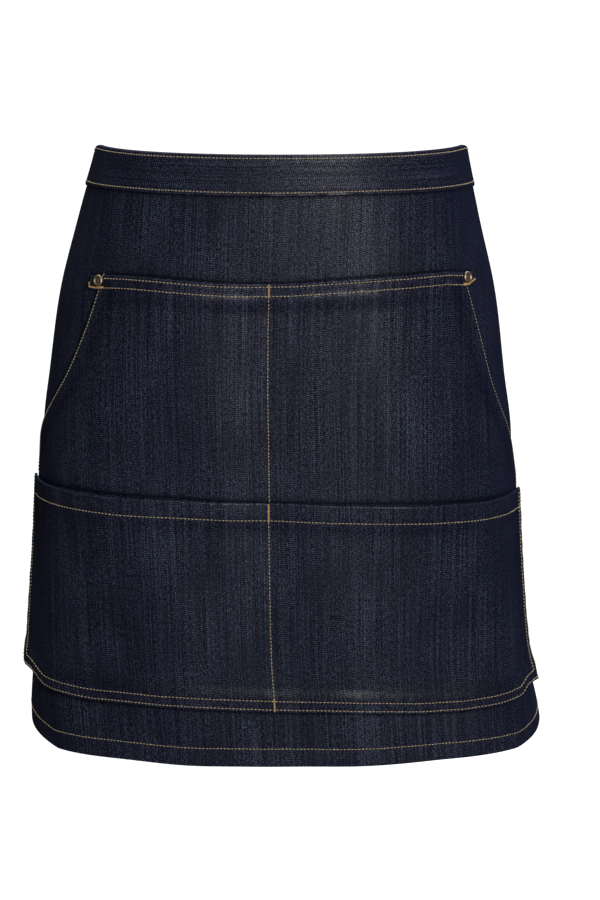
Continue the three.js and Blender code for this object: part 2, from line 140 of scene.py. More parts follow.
# Rows of stitches are given by how far down the cloth they run
panel = {"top": 0.003, "sideHem": 0.012, "bottomHem": 0.015, "step": 0.0026, "sideRow": 0.010}
band = {"height": 0.033, "topRound": 0.0011, "step": 0.0021, "opening": 0.112, "overlap": 0.014,
        "rows": (0.0030, 0.0304)}
tie = {"inset": 0.0045, "round": 0.0006}
waistHalf = float(np.interp(0, formDown, formHalf))
bandHalf = waistHalf - band["opening"] / 2
panelHalf = bandHalf - band["overlap"]
hemRow = body["length"] - panel["bottomHem"]

# Pockets, with the same values as the solids that they stand for. From softness on they are for looks: soft
# steps, side edges drawn in, and lower corners off the panel
pocket = {
    "aboveHem": 0.0465, "seam": 0.010, "mouthHem": 0.0135, "divider": -0.007, "width": 0.492,
    "shift": -0.006, "upperDrop": 0.0975, "upperWidth": 0.305, "upperShift": 0.0075, "earDrop": 0.0105,
    "earReach": 0.009, "slantAboveMouth": 0.0105, "upperSlack": 0.006, "lowerDepth": 0.170,
    "lowerSlack": 0.008, "clearance": 0.0002, "upperRows": (0.1003, 0.1075), "mouthRow": 0.0143,
    "twinRows": (0.0025, 0.0095), "softness": 0.0090, "tuck": (0.013, 0.009), "tuckAbove": 0.050,
    "tuckBelow": 0.034, "flare": 0.0026, "flareWidth": 0.026, "flareHeight": 0.034,
}
pocketFloor = body["length"] - pocket["aboveHem"]
lowerDrop = pocketFloor - pocket["lowerDepth"]
slantStart = pocket["upperDrop"] + pocket["earDrop"]
slantDepth = lowerDrop - pocket["slantAboveMouth"] - slantStart
pocketLeft, pocketRight = pocket["shift"] - pocket["width"] / 2, pocket["shift"] + pocket["width"] / 2


def wobble(at, pitch, seed):
    # a smooth random line between -1 and 1
    values = np.random.default_rng(seed).uniform(-1, 1, 8192)
    place = np.asarray(at) / pitch + 4096
    i = np.floor(place).astype(int)
    u = place - i
    u = u * u * (3 - 2 * u)
    return values[i % 8192] * (1 - u) + values[(i + 1) % 8192] * u


def unevenness(across, down):
    # long soft waves that every layer follows, none under the waistband
    grown = ease(down, 0.03, 0.14)
    wave = 0.00055 * np.sin(across * 47 + 3 * np.sin(down * 9) + 0.6)
    wave = wave + 0.00045 * np.sin(across * 83 - down * 12 + 2.1) + 0.0004 * np.sin(down * 38 + across * 11)
    return grown * wave


def foldOut(across, down):
    out = unevenness(across, down)
    for middle, width, most, begin in foldRows:
        away = (across / panelHalf - middle) / width
        out = out + most * ease(down / body["length"], begin, 1) * np.exp(-away * away)
    return out


def liftAt(across, down):
    # the flared hip pulls the cloth up at the sides, from the lower pocket's middle to the hem
    grown = ease(down, pocketFloor - pocket["lowerDepth"] / 2, pocketFloor - pocket["seam"])
    low = ease(down, pocketFloor, body["length"])
    reach = body["sideLiftReach"] + (body["hemLiftReach"] - body["sideLiftReach"]) * low
    past = np.clip((np.abs(across) - (body["sideAcross"] - reach)) / reach, 0, 1)
    return body["sideLift"] * past * grown


# small sags and pulls along the sewn edges: the edge's place down the cloth, how far the pull reaches above
# and below it, then (across, downward shift) along it in millimetres
settleRows = [
    (0.0310, 0.022, 0.030, [
        (-300, 0), (-200, -1.0), (-120, -1.8), (0, -1.0), (70, -1.8), (160, -1.0), (250, 0)]),
    (0.1020, 0.040, 0.070, [
        (-165, 0), (-147, 0), (-136, -1.6), (-118, -2.5), (-100, -2.3), (-77, -1.4), (-61, -0.5), (-45, 0.7),
        (-29, 1.4), (-8, 1.6), (10, 1.3), (28, 0.2), (52, -1.3), (84, -2.7), (116, -3.0), (136, -2.7),
        (148, -1.3), (157, 0), (170, 0)]),
    (0.2800, 0.040, 0.050, [
        (-260, 0), (-235, -0.6), (-200, -2.4), (-150, -1.8), (-80, -1.6), (-50, -0.6), (-30, 0), (100, 0),
        (140, 0.8), (165, 1.2), (200, 0.5), (240, 0)]),
    (0.4380, 0.045, 0.024, [
        (-300, 0), (-260, -4.5), (-235, -7.0), (-222, -8.5), (-210, -5.8), (-200, -3.4), (-190, -2.5),
        (-175, -1.6), (-155, -0.6), (-113, -1.3), (-80, -1.5), (-50, -0.8), (0, 0.2), (50, -0.4), (80, 0.8),
        (112, 2.6), (145, 2.6), (177, 0.6), (190, -1.0), (200, -2.6), (210, -7.6), (220, -7.8), (230, -5.5),
        (245, -3.0), (300, 0)]),
]


def settleAt(across, down):
    moved = 0
    for place, above, below, shifts in settleRows:
        away = np.where(down < place, (place - down) / above, (down - place) / below)
        at, shift = np.array(shifts).T / 1000
        moved = moved + np.interp(across, at, shift) * (1 - ease(away, 0.15, 1))
    return moved


def drape(across, down, out):
    across, down, out = np.broadcast_arrays(*[np.asarray(v, float) for v in (across, down, out)])
    down = down - liftAt(across, down) + settleAt(across, down)
    reach = out + foldOut(across, down)
    x = readForm(formX, across, down) + reach * readForm(outwardX, across, down)
    y = readForm(formY, across, down) + reach * readForm(outwardY, across, down)
    lead = body["dipLead"] * (1 - ease(down, 0, 0.099))
    behind = np.maximum(y + lead, 0)
    dip = body["backDip"] * behind**2 / ((body["backDepth"] + lead) * (behind + body["dipSoftness"]))
    sideways = np.clip(across / body["sideAcross"], -1, 1)
    level = (1 - body["leanAlike"]) * sideways + body["leanAlike"] * sideways**2
    lean = body["pocketLean"] * bodyValue("lean", down) * level
    side = np.where(across < 0, -1, 1)
    shift = body["hemWidth"] * bodyValue("shift", down)
    return np.stack([side * x + shift, y, -down - lean - dip], -1)


print("stage: body outline ready")

# fall, reach, shift of the upper pocket's slanted sides, all shares
slantRows = np.array([
    (0.000, 0.000, 1.00),
    (0.175, 0.101, 0.97),
    (0.320, 0.197, 0.86),
    (0.470, 0.309, 0.69),
    (0.600, 0.442, 0.55),
    (0.730, 0.612, 0.43),
    (0.860, 0.795, 0.26),
    (1.000, 1.000, 0.00),
])


def tuckAt(down):
    # the seams draw both side edges in from the lower mouth down
    drawn = ease(down, lowerDrop - pocket["tuckAbove"], lowerDrop + pocket["tuckBelow"])
    return pocket["tuck"][0] * drawn, pocket["tuck"][1] * drawn


def upperSides(down):
    fall = (down - slantStart) / slantDepth
    mouthHalf = pocket["upperWidth"] / 2
    half = mouthHalf + (pocket["width"] / 2 - mouthHalf) * readRows(slantRows, fall, 1)
    half = half + np.where(fall < -0.001, pocket["earReach"], 0)
    shift = pocket["shift"] + (pocket["upperShift"] - pocket["shift"]) * readRows(slantRows, fall, 2)
    fromLeft, fromRight = tuckAt(down)
    return shift - half + fromLeft, shift + half - fromRight


def lowerSides(down):
    fromLeft, fromRight = tuckAt(down)
    return pocketLeft + fromLeft, pocketRight - fromRight


def flareAt(across, down, left, right):
    # the pockets' lower corners stand a little off the panel
    fromSide = np.minimum(across - left, right - across)
    grown = ease(down, pocketFloor - pocket["flareHeight"], pocketFloor - 0.006)
    return pocket["flare"] * (1 - ease(fromSide, 0.002, pocket["flareWidth"])) * grown


def fromSeams(across, down, left, right):
    # how far a place on a pocket is from its sewn sides and floor
    return np.minimum(np.minimum(across - left, right - across), pocketFloor - down)


def slackAt(across, left, right):
    side = np.where(across < pocket["divider"], left + pocket["seam"], right - pocket["seam"])
    share = np.clip((across - pocket["divider"]) / (side - pocket["divider"]), 0, 1)
    return np.sin(math.pi * share) ** 1.3


def doubled(across, down, left, right, mouth):
    step, soft = body["foldStep"], pocket["softness"]
    fromEdge = fromSeams(across, down, left, right)
    seam = 1 - ease(fromEdge, pocket["seam"] + step, pocket["seam"] + step + soft)
    hem = 1 - ease(down - mouth, pocket["mouthHem"] + step, pocket["mouthHem"] + step + soft)
    return np.maximum(seam, hem)


def pucker(across, down, rows, seed):
    # the little gathers that a row of stitches pulls: rows are ("level" or "upright", place, start, end)
    out = np.zeros_like(across)
    for k, (way, place, start, end) in enumerate(rows):
        along, off = (across, down - place) if way == "level" else (down, across - place)
        within = (along > start) & (along < end)
        size = 0.00022 * np.exp(-((off / 0.0055) ** 2)) * wobble(along, 0.0042, seed + k)
        groove = -0.00025 * np.exp(-((off / 0.0011) ** 2))
        out = out + within * (size + groove)
    return out


upperRows = [("level", row, -0.16, 0.17) for row in pocket["upperRows"]]
upperRows.append(("upright", pocket["divider"], pocket["upperDrop"], 0.45))
mouthRow = lowerDrop + pocket["mouthRow"]
lowerRows = [("level", mouthRow, -0.26, 0.26), ("upright", pocket["divider"], 0.27, 0.45)]
lowerRows += [("level", pocketFloor - inset, -0.23, 0.22) for inset in pocket["twinRows"]]
panelRows = [("level", hemRow, -0.4, 0.4)]


def pocketFace(across, down, sides, mouth, depth, slack, power):
    # how far a pocket's outer face stands off what it is sewn to
    fall = np.clip((down - mouth) / depth, 0, 1)
    slack = slack * slackAt(across, *sides) * (1 - fall) ** power
    layers = 1 + doubled(across, down, *sides, mouth)
    return body["pocketGap"] + body["cloth"] * layers + slack + pocket["clearance"]


def upperFace(across, down):
    sides = upperSides(down)
    depth = pocketFloor - pocket["upperDrop"]
    face = pocketFace(across, down, sides, pocket["upperDrop"], depth, pocket["upperSlack"], 1.5)
    return face + flareAt(across, down, *sides)


def lowerFace(across, down):
    sides = lowerSides(down)
    face = pocketFace(across, down, sides, lowerDrop, pocket["lowerDepth"], pocket["lowerSlack"], 1.2)
    return upperFace(across, down) + face


def panelTop(across, down):
    return pucker(across, down, panelRows, 11)


def upperTop(across, down):
    return upperFace(across, down) + pucker(across, down, upperRows, 31)


def lowerTop(across, down):
    left, right = lowerSides(down)
    insets = pocket["twinRows"]
    sideRows = [left + inset for inset in insets] + [right - inset for inset in insets]
    rows = lowerRows + [("upright", at, 0.26, 0.45) for at in sideRows]
    return lowerFace(across, down) + pucker(across, down, rows, 51)


def bandTop(across, down):
    ripple = pucker(across, down, [("level", row, -1, 1) for row in band["rows"]], 71)
    return body["layerGap"] + body["cloth"] + ripple


def addObject(name, data):
    thing = bpy.data.objects.new(name, data)
    bpy.context.scene.collection.objects.link(thing)
    return thing


def addValues(mesh, name, values):
    mesh.attributes.new(name, "FLOAT", "POINT").data.foreach_set("value", np.asarray(values, np.float32))


def setMesh(name, points, faces, flat, materials, faceMaterial=None, edge=None):
    mesh = bpy.data.meshes.new(name)
    mesh.from_pydata(points.tolist(), [], faces if isinstance(faces, list) else faces.tolist())
    corner = np.zeros(len(mesh.loops), dtype=np.int32)
    mesh.loops.foreach_get("vertex_index", corner)
    layer = mesh.uv_layers.new(name="flatCloth")
    layer.data.foreach_set("uv", np.asarray(flat)[corner].ravel().astype(np.float32))
    for material in materials:
        mesh.materials.append(material)
    if faceMaterial is not None:
        mesh.polygons.foreach_set("material_index", np.asarray(faceMaterial, dtype=np.int32))
    if edge is not None:
        addValues(mesh, "edgeFold", edge)
    mesh.shade_smooth()
    mesh.update()
    return addObject(name, mesh)


def lines(start, end, step, creases=(), close=0.0004, rim=0.0009):
    # evenly spaced grid lines, with a pair of close ones at each crease and one beside each end
    marks = [m + s * close for m in creases for s in (-1, 1) if start < m + s * close < end]
    near = [start + rim, end - rim]
    even = np.linspace(start, end, max(2, round((end - start) / step) + 1))
    keep = [v for v in even if v in (start, end) or all(abs(v - m) > 0.6 * step for m in marks)]
    return np.unique(np.concatenate([keep, marks, near]))


def sheetPiece(name, across, down, place, top, thick, hemmed, materials, turned=False, roll=5, shade=None):
    # a closed cloth: a front and a back grid, joined by a rolled edge of half the cloth's thickness
    rows, columns = across.shape
    grid = np.arange(rows * columns).reshape(rows, columns)
    ring = np.concatenate([grid[0, :-1], grid[:-1, -1], grid[-1, :0:-1], grid[:0:-1, 0]])
    a, d, outer, deep = [v.ravel() for v in (across, down, top, thick)]
    ringA, ringD = a[ring], d[ring]
    wayA, wayD = np.roll(ringA, -1) - np.roll(ringA, 1), np.roll(ringD, -1) - np.roll(ringD, 1)
    size = np.maximum(np.hypot(wayA, wayD), 1e-9)
    sideA, sideD = wayD / size, -wayA / size
    # keep the rolled edge outside the grid
    flip = np.sign(np.sum(sideA * (ringA - ringA.mean()) + sideD * (ringD - ringD.mean())))
    sideA, sideD = sideA * flip, sideD * flip
    radius = deep[ring] / 2
    parts = [(a, d, outer), (a, d, outer - deep)]
    for k in range(1, roll + 1):
        turn = math.pi * k / (roll + 1)
        parts.append((ringA + radius * np.sin(turn) * sideA, ringD + radius * np.sin(turn) * sideD,
                      outer[ring] - radius * (1 - np.cos(turn))))
    flatA, flatD, out = [np.concatenate(v) for v in zip(*parts)]
    points = place(flatA, flatD, out)
    count, ringCount = rows * columns, len(ring)
    q = np.stack([grid[:-1, :-1], grid[1:, :-1], grid[1:, 1:], grid[:-1, 1:]], -1).reshape(-1, 4)
    back = q[:, ::-1] + count
    levels = [ring] + [2 * count + k * ringCount + np.arange(ringCount) for k in range(roll)] + [ring + count]
    rim = [np.stack([low, np.roll(low, -1), np.roll(high, -1), high], -1)
           for low, high in zip(levels[:-1], levels[1:])]
    faces = np.concatenate([q, back] + rim)
    middle = np.stack([a[q].mean(1), d[q].mean(1)], -1)
    reverse = ~hemmed(middle[:, 0], middle[:, 1])
    faceMaterial = np.concatenate([np.zeros(len(q)), reverse, np.zeros(len(faces) - 2 * len(q))])
    edge = np.concatenate([np.zeros(2 * count), np.ones(roll * ringCount)])
    edge[ring], edge[ring + count] = 0.6, 0.6
    flat = np.stack([flatD, flatA] if turned else [flatA, flatD], -1)
    piece = setMesh(name, points, faceOut(points, faces), flat, materials, faceMaterial, edge)
    # painted shade, stored on the outer face's points for the material
    if shade is not None:
        under = np.zeros(len(points))
        under[:count] = shade(a, d)
        addValues(piece.data, "paintedEdgeShade", under)
    return piece


def faceOut(points, faces):
    # the same quads, turned over if the volume that they close comes out negative
    a, b, c, d = [points[faces[:, k]] for k in range(4)]
    volume = sum(np.einsum("ij,ij->i", a, np.cross(*pair)).sum() for pair in ((b, c), (c, d)))
    return faces[:, ::-1] if volume < 0 else faces


# Nodes. Small helpers first: a node with its settings, a link or a constant, and steps of arithmetic
def addNode(tree, kind, **settings):
    node = tree.nodes.new(kind)
    for key, value in settings.items():
        setattr(node, key, value)
    return node


def feed(tree, socket, value):
    if isinstance(value, bpy.types.NodeSocket):
        tree.links.new(value, socket)
    else:
        socket.default_value = value


def calc(tree, operation, *values):
    node = addNode(tree, "ShaderNodeMath", operation=operation)
    for socket, value in zip(node.inputs, values):
        feed(tree, socket, value)
    return node.outputs[0]


def add(tree, one, two):
    return calc(tree, "ADD", one, two)


def times(tree, one, two):
    return calc(tree, "MULTIPLY", one, two)


def feedAll(tree, node, values):
    for name, value in values.items():
        feed(tree, node.inputs[name], value)


def splitPlace(tree, place):
    node = addNode(tree, "ShaderNodeSeparateXYZ")
    feed(tree, node.inputs[0], place)
    return node.outputs[0], node.outputs[1]


def noise(tree, place, scale, detail=2.0, roughness=0.5):
    stretch = addNode(tree, "ShaderNodeVectorMath", operation="MULTIPLY")
    feed(tree, stretch.inputs[0], place)
    feed(tree, stretch.inputs[1], scale)
    node = addNode(tree, "ShaderNodeTexNoise")
    place = stretch.outputs[0]
    feedAll(tree, node, {"Vector": place, "Scale": 1.0, "Detail": detail, "Roughness": roughness})
    return node.outputs[0]


def lineNoise(tree, at):
    # one random value for each whole number along a line
    node = addNode(tree, "ShaderNodeTexWhiteNoise", noise_dimensions="1D")
    feed(tree, node.inputs["W"], calc(tree, "FLOOR", at))
    return node.outputs[0]


def remap(tree, value, fromLow, fromHigh, toLow=0.0, toHigh=1.0):
    node = addNode(tree, "ShaderNodeMapRange")
    for socket, setting in zip(node.inputs, (value, fromLow, fromHigh, toLow, toHigh)):
        feed(tree, socket, setting)
    return node.outputs[0]


def mixColour(tree, share, one, two, blend="MIX"):
    node = addNode(tree, "ShaderNodeMix", data_type="RGBA", blend_type=blend)
    for socket, value in zip((node.inputs[0], node.inputs[6], node.inputs[7]), (share, one, two)):
        feed(tree, socket, value)
    return node.outputs[2]


def newGroup(name, inputs, outputs):
    group = bpy.data.node_groups.new(name, "ShaderNodeTree")
    for label, kind, value in inputs:
        socket = group.interface.new_socket(name=label, in_out="INPUT", socket_type=kind)
        if value is not None:
            socket.default_value = value
    for label, kind in outputs:
        group.interface.new_socket(name=label, in_out="OUTPUT", socket_type=kind)
    return group, addNode(group, "NodeGroupInput").outputs, addNode(group, "NodeGroupOutput").inputs


# Yarns and noises per millimetre of cloth: a yarn is 0.8 mm wide, a pair that shares its dots 1.3 mm
weaveLook = {
    "yarnWidth": 0.80, "pairPitch": 0.7692, "pairStart": 417.3, "dotTurn": 3.7, "dotSlant": 0.3,
    "dotDrift": 5.0, "yarnTurn": 3.927, "yarnTone": 0.32, "middleTone": 0.45,
}


def twillWeaveGroup(look):
    # yarns, slubs, dots and flecks of a right-hand twill, from a flat place in millimetres
    group, given, result = newGroup(
        "twillWeave",
        [("Place", "NodeSocketVector", None)]
        + [(label, "NodeSocketFloat", 1.0) for label in ("Slub", "Dots", "Fleck")],
        [(label, "NodeSocketFloat") for label in ("Tone", "Height", "Cloud", "Tint")],
    )
    place = given["Place"]
    x, y = splitPlace(group, place)
    # each yarn has its own tone, and each pair of yarns its own place along the weave
    yarnTone = lineNoise(group, calc(group, "DIVIDE", x, look["yarnWidth"]))
    pairPlace = lineNoise(group, calc(group, "MULTIPLY_ADD", x, look["pairPitch"], look["pairStart"]))
    drift = noise(group, place, (0.30, 0.10, 1.0), 1.0)
    line = add(group, times(group, y, look["dotTurn"]), times(group, x, look["dotSlant"]))
    phase = add(group, times(group, pairPlace, 6.2832), times(group, drift, look["dotDrift"]))
    line = add(group, line, phase)
    dot = calc(group, "MULTIPLY_ADD", calc(group, "SINE", line), 0.5, 0.5)
    yarn = calc(group, "ABSOLUTE", calc(group, "SINE", times(group, x, look["yarnTurn"])))
    slub = noise(group, place, (1.05, 0.28, 1.0), 2.0, 0.7)
    longSlub = noise(group, place, (0.85, 0.012, 1.0), 1.0, 0.5)
    fleck = noise(group, place, (1.05, 0.85, 1.0), 1.0, 0.8)
    streak = remap(group, slub, 0.30, 0.70, -0.5, 0.5)
    streak = add(group, streak, remap(group, longSlub, 0.32, 0.68, -0.25, 0.25))
    ownTone = calc(group, "MULTIPLY_ADD", yarnTone, look["yarnTone"], -look["yarnTone"] / 2)
    streak = times(group, add(group, streak, ownTone), given["Slub"])
    specks = times(group, remap(group, fleck, 0.30, 0.72, -0.5, 0.5), given["Fleck"])
    dots = times(group, add(group, dot, -0.5), given["Dots"])
    tone = add(group, add(group, streak, specks), add(group, dots, look["middleTone"]))
    height = add(group, times(group, dot, 0.6), times(group, yarn, 0.2))
    feed(group, result["Tone"], calc(group, "MAXIMUM", calc(group, "MINIMUM", tone, 1.0), 0.0))
    feed(group, result["Height"], add(group, height, times(group, slub, 0.8)))
    feed(group, result["Cloud"], noise(group, place, (0.022, 0.017, 1.0), 3.0, 0.55))
    feed(group, result["Tint"], noise(group, place, (0.13, 0.05, 1.0), 2.0, 0.6))
    return group


twillWeave = twillWeaveGroup(weaveLook)


def flatPlaceNode(tree):
    # the flat place of the cloth, in millimetres
    place = addNode(tree, "ShaderNodeUVMap", uv_map="flatCloth")
    scaled = addNode(tree, "ShaderNodeVectorMath", operation="SCALE")
    feed(tree, scaled.inputs[0], place.outputs[0])
    scaled.inputs["Scale"].default_value = 1000.0
    return scaled.outputs[0]


def newMaterial(name):
    material = bpy.data.materials.new(name)
    material.use_nodes = True
    tree = material.node_tree
    return material, tree, tree.nodes["Principled BSDF"]


def bumpInto(tree, shader, height, strength, distance):
    bump = addNode(tree, "ShaderNodeBump")
    feedAll(tree, bump, {"Strength": strength, "Distance": distance, "Height": height})
    feed(tree, shader.inputs["Normal"], bump.outputs[0])


def solid(colour):
    return (*colour, 1)


def denimMaterial(name, look):
    material, tree, shader = newMaterial(name)
    weave = addNode(tree, "ShaderNodeGroup", node_tree=twillWeave)
    feedAll(tree, weave, {"Place": flatPlaceNode(tree), "Slub": look["slub"], "Dots": look["dots"],
                          "Fleck": look["fleck"]})
    tone = weave.outputs["Tone"]
    ramp = addNode(tree, "ShaderNodeValToRGB")
    feed(tree, ramp.inputs[0], tone)
    dark, light = ramp.color_ramp.elements
    dark.color, light.color = solid(look["dark"]), solid(look["light"])
    ramp.color_ramp.elements.new(weaveLook["middleTone"]).color = solid(look["middle"])
    cloud = remap(tree, weave.outputs["Cloud"], 0.35, 0.65, 0.0, look["cloud"])
    clouded = mixColour(tree, cloud, ramp.outputs[0], solid(look["deep"]))
    # patches that lean to purple or to green
    lean = mixColour(tree, remap(tree, weave.outputs["Tint"], 0.35, 0.65), (1.12, 0.86, 1.06, 1),
                     (0.84, 1.08, 1.0, 1))
    tinted = mixColour(tree, look["tint"], clouded, lean, "MULTIPLY")
    # a paler colour along the rolled and folded edges, more on the light yarns
    fold = addNode(tree, "ShaderNodeAttribute", attribute_name="edgeFold")
    worn = times(tree, times(tree, fold.outputs["Fac"], remap(tree, tone, 0.2, 0.9, 0.1, 1.0)), look["paleFoldShare"])
    # painted shade: darker colour and less coat shine right beside a sewn-on edge, where shade falls
    near = addNode(tree, "ShaderNodeAttribute", attribute_name="paintedEdgeShade")
    shadeAmount = times(tree, near.outputs["Fac"], look["shadeAmount"])
    coloured = mixColour(tree, shadeAmount, mixColour(tree, worn, tinted, solid(look["worn"])), solid(look["dark"]))
    # painted sheen: seen edge-on, the colour turns to a plain, lighter blue and the coat shine fades
    slope = addNode(tree, "ShaderNodeLayerWeight")
    slope.inputs["Blend"].default_value = 0.5
    rim = remap(tree, slope.outputs["Facing"], 0.20, 0.85, 0.0, look["paintedSheenShare"])
    # the raised light yarns shine more than the dark ones between them
    shine = times(tree, remap(tree, tone, 0.1, 0.9, 0.0, look["shine"]), calc(tree, "SUBTRACT", 1.0, shadeAmount))
    feedAll(tree, shader, {
        "Base Color": mixColour(tree, rim, coloured, solid(look["rim"])),
        "Roughness": remap(tree, tone, 0.0, 1.0, look["matt"] + 0.06, look["matt"] - 0.06),
        "Specular IOR Level": look["gloss"],
        "Coat Weight": times(tree, shine, calc(tree, "SUBTRACT", 1.0, rim)),
        "Coat Roughness": look["shineSpread"],
        "Sheen Weight": look["sheen"],
        "Sheen Roughness": 0.45,
        "Sheen Tint": (0.45, 0.5, 0.75, 1),
    })
    bumpInto(tree, shader, weave.outputs["Height"], look["relief"], 0.0004)
    return material


# Each look holds the colour of a painted sheen seen edge-on (rim), and how dark a painted shade beside sewn
# edges goes
denimLook = {
    "dark": (0.0008, 0.0011, 0.0038), "middle": (0.0043, 0.0056, 0.0135), "light": (0.082, 0.092, 0.150),
    "deep": (0.0040, 0.0050, 0.0135), "worn": (0.032, 0.038, 0.062), "slub": 0.46, "dots": 0.40,
    "fleck": 0.62, "cloud": 0.60, "tint": 0.75, "paleFoldShare": 0.35, "shadeAmount": 0.92, "rim": (0.009, 0.012, 0.034),
    "paintedSheenShare": 0.9, "matt": 0.60, "relief": 0.5, "gloss": 0.05, "shine": 0.62, "shineSpread": 0.40,
    "sheen": 0.0,
}
reverseLook = {
    "dark": (0.035, 0.045, 0.080), "middle": (0.17, 0.19, 0.25), "light": (0.42, 0.43, 0.46),
    "deep": (0.13, 0.15, 0.22), "worn": (0.3, 0.32, 0.38), "slub": 0.5, "dots": 0.7, "fleck": 0.9,
    "cloud": 0.2, "tint": 0.1, "paleFoldShare": 0.2, "shadeAmount": 0.3, "rim": (0.2, 0.22, 0.3), "paintedSheenShare": 0.2,
    "matt": 0.85, "relief": 0.5, "gloss": 0.25, "shine": 0.0, "shineSpread": 0.5, "sheen": 0.05,
}
denim = denimMaterial("rawDenim", denimLook)
denimReverse = denimMaterial("denimReverse", reverseLook)


def threadMaterial(name, look):
    # topstitch thread: its flat place is (along the stitch, round it), in metres
    material, tree, shader = newMaterial(name)
    place = flatPlaceNode(tree)
    along, around = splitPlace(tree, place)
    turn = add(tree, times(tree, along, 7.5), times(tree, around, 6.2832))
    ply = calc(tree, "MULTIPLY_ADD", calc(tree, "SINE", turn), 0.5, 0.5)
    spread = noise(tree, place, (0.11, 0.3, 1.0), 2.0)
    tone = add(tree, times(tree, ply, 0.45), remap(tree, spread, 0.3, 0.7, 0.0, 0.55))
    feedAll(tree, shader, {
        "Base Color": mixColour(tree, tone, solid(look["dark"]), solid(look["light"])),
        "Roughness": 0.55,
        "Specular IOR Level": 0.4,
        "Sheen Weight": 0.15,
    })
    bumpInto(tree, shader, ply, 0.6, 0.0001)
    return material


khakiThread = threadMaterial("khakiThread", {"dark": (0.15, 0.115, 0.052), "light": (0.53, 0.43, 0.245)})
orangeThread = threadMaterial("orangeThread", {"dark": (0.20, 0.09, 0.025), "light": (0.78, 0.47, 0.14)})


def brassMaterial():
    # aged brass: its flat place is (share of the radius, share of the turn), over 1000
    material, tree, shader = newMaterial("agedBrass")
    place = flatPlaceNode(tree)
    stain = noise(tree, place, (3.0, 9.0, 1.0), 4.0, 0.65)
    dish = times(tree, remap(tree, splitPlace(tree, place)[0], 0.35, 0.72, 1.0, 0.0), 0.7)
    patina = calc(tree, "MINIMUM", add(tree, dish, remap(tree, stain, 0.4, 0.7, 0.0, 0.5)), 1.0)
    feedAll(tree, shader, {
        "Base Color": mixColour(tree, patina, (0.40, 0.33, 0.22, 1), (0.13, 0.095, 0.06, 1)),
        "Roughness": remap(tree, patina, 0.0, 1.0, 0.46, 0.68),
        "Metallic": 1.0,
    })
    bumpInto(tree, shader, stain, 0.25, 0.0001)
    return material


agedBrass = brassMaterial()
print("stage: materials ready")


# Main panel: hems turned to the inside, top edge inside the waistband. Shade is painted into the colour
# beside the edges that are sewn onto it, and where doubled cloth drops back to one layer
paintedShadeSize = {"reach": 0.0021, "seamAt": 0.0155, "seamReach": 0.0055, "seamShare": 0.48, "hemAt": 0.0195,
           "hemReach": 0.006, "hemShare": 0.16}

def beside(distance, width=paintedShadeSize["reach"]):
    # 1 right at an edge and fading away from it, 0 behind it
    return np.where(distance < -0.0006, 0, np.exp(-((np.maximum(distance, 0) / width) ** 1.6)))


# painted shade on the panel right under the band, beside the upper pocket's sides and mouth, and under the
# pockets
def panelShade(across, down):
    left, right = upperSides(np.clip(down, pocket["upperDrop"], lowerDrop))
    fromSide = np.maximum(left - across, across - right)
    atSide = beside(fromSide) * (down > pocket["upperDrop"]) * (down < lowerDrop)
    atMouth = beside(pocket["upperDrop"] - down, 0.0018) * (fromSide < 0.001)
    left, right = lowerSides(down)
    within = (across > left) & (across < right)
    underBand, underPocket = beside(down - band["height"]), beside(down - pocketFloor) * within
    return np.maximum.reduce([underBand, atSide * 0.7, atMouth, underPocket])


# painted shade inside the pockets' seams and below the mouth hem, where doubled cloth steps back to one layer
def stepShade(across, down, sides, mouth):
    fromSeam = fromSeams(across, down, *sides) - paintedShadeSize["seamAt"]
    fromHem = down - mouth - paintedShadeSize["hemAt"]
    seam = paintedShadeSize["seamShare"] * np.exp(-((fromSeam / paintedShadeSize["seamReach"]) ** 2))
    return seam + paintedShadeSize["hemShare"] * np.exp(-((fromHem / paintedShadeSize["hemReach"]) ** 2))


def upperShade(across, down):
    inside = stepShade(across, down, upperSides(down), pocket["upperDrop"]) * (down < lowerDrop)
    return np.minimum(np.maximum(beside(lowerDrop - down, 0.0026), inside), 1)


def lowerShade(across, down):
    return np.minimum(stepShade(across, down, lowerSides(down), lowerDrop), 1)


def makePanel():
    roll = body["cloth"] / 2
    sideHem = panelHalf - panel["sideHem"]
    a = lines(-panelHalf + 2 * roll, panelHalf - 2 * roll, panel["step"], [-sideHem, sideHem])
    belowBand = band["height"] + body["layerGap"]
    d = lines(panel["top"] + roll, body["length"] - 2 * roll, 0.0030,
              [belowBand, 0.0348, 0.0363, pocket["upperDrop"] - 0.0004, pocket["upperDrop"] - 0.0020,
               pocketFloor + 0.0004, pocketFloor + 0.0020, hemRow])
    across, down = np.meshgrid(a, d)

    def hemmed(across, down):
        return ((panelHalf - np.abs(across) < panel["sideHem"]) & (down > belowBand)) | (down > hemRow)

    thick = np.where(hemmed(across, down), 2, 1) * body["cloth"]
    piece = sheetPiece("panelCloth", across, down, drape, panelTop(across, down), thick, hemmed,
                       [denim, denimReverse], shade=panelShade)
    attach(piece, "root")
    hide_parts("main_panel")
    return piece


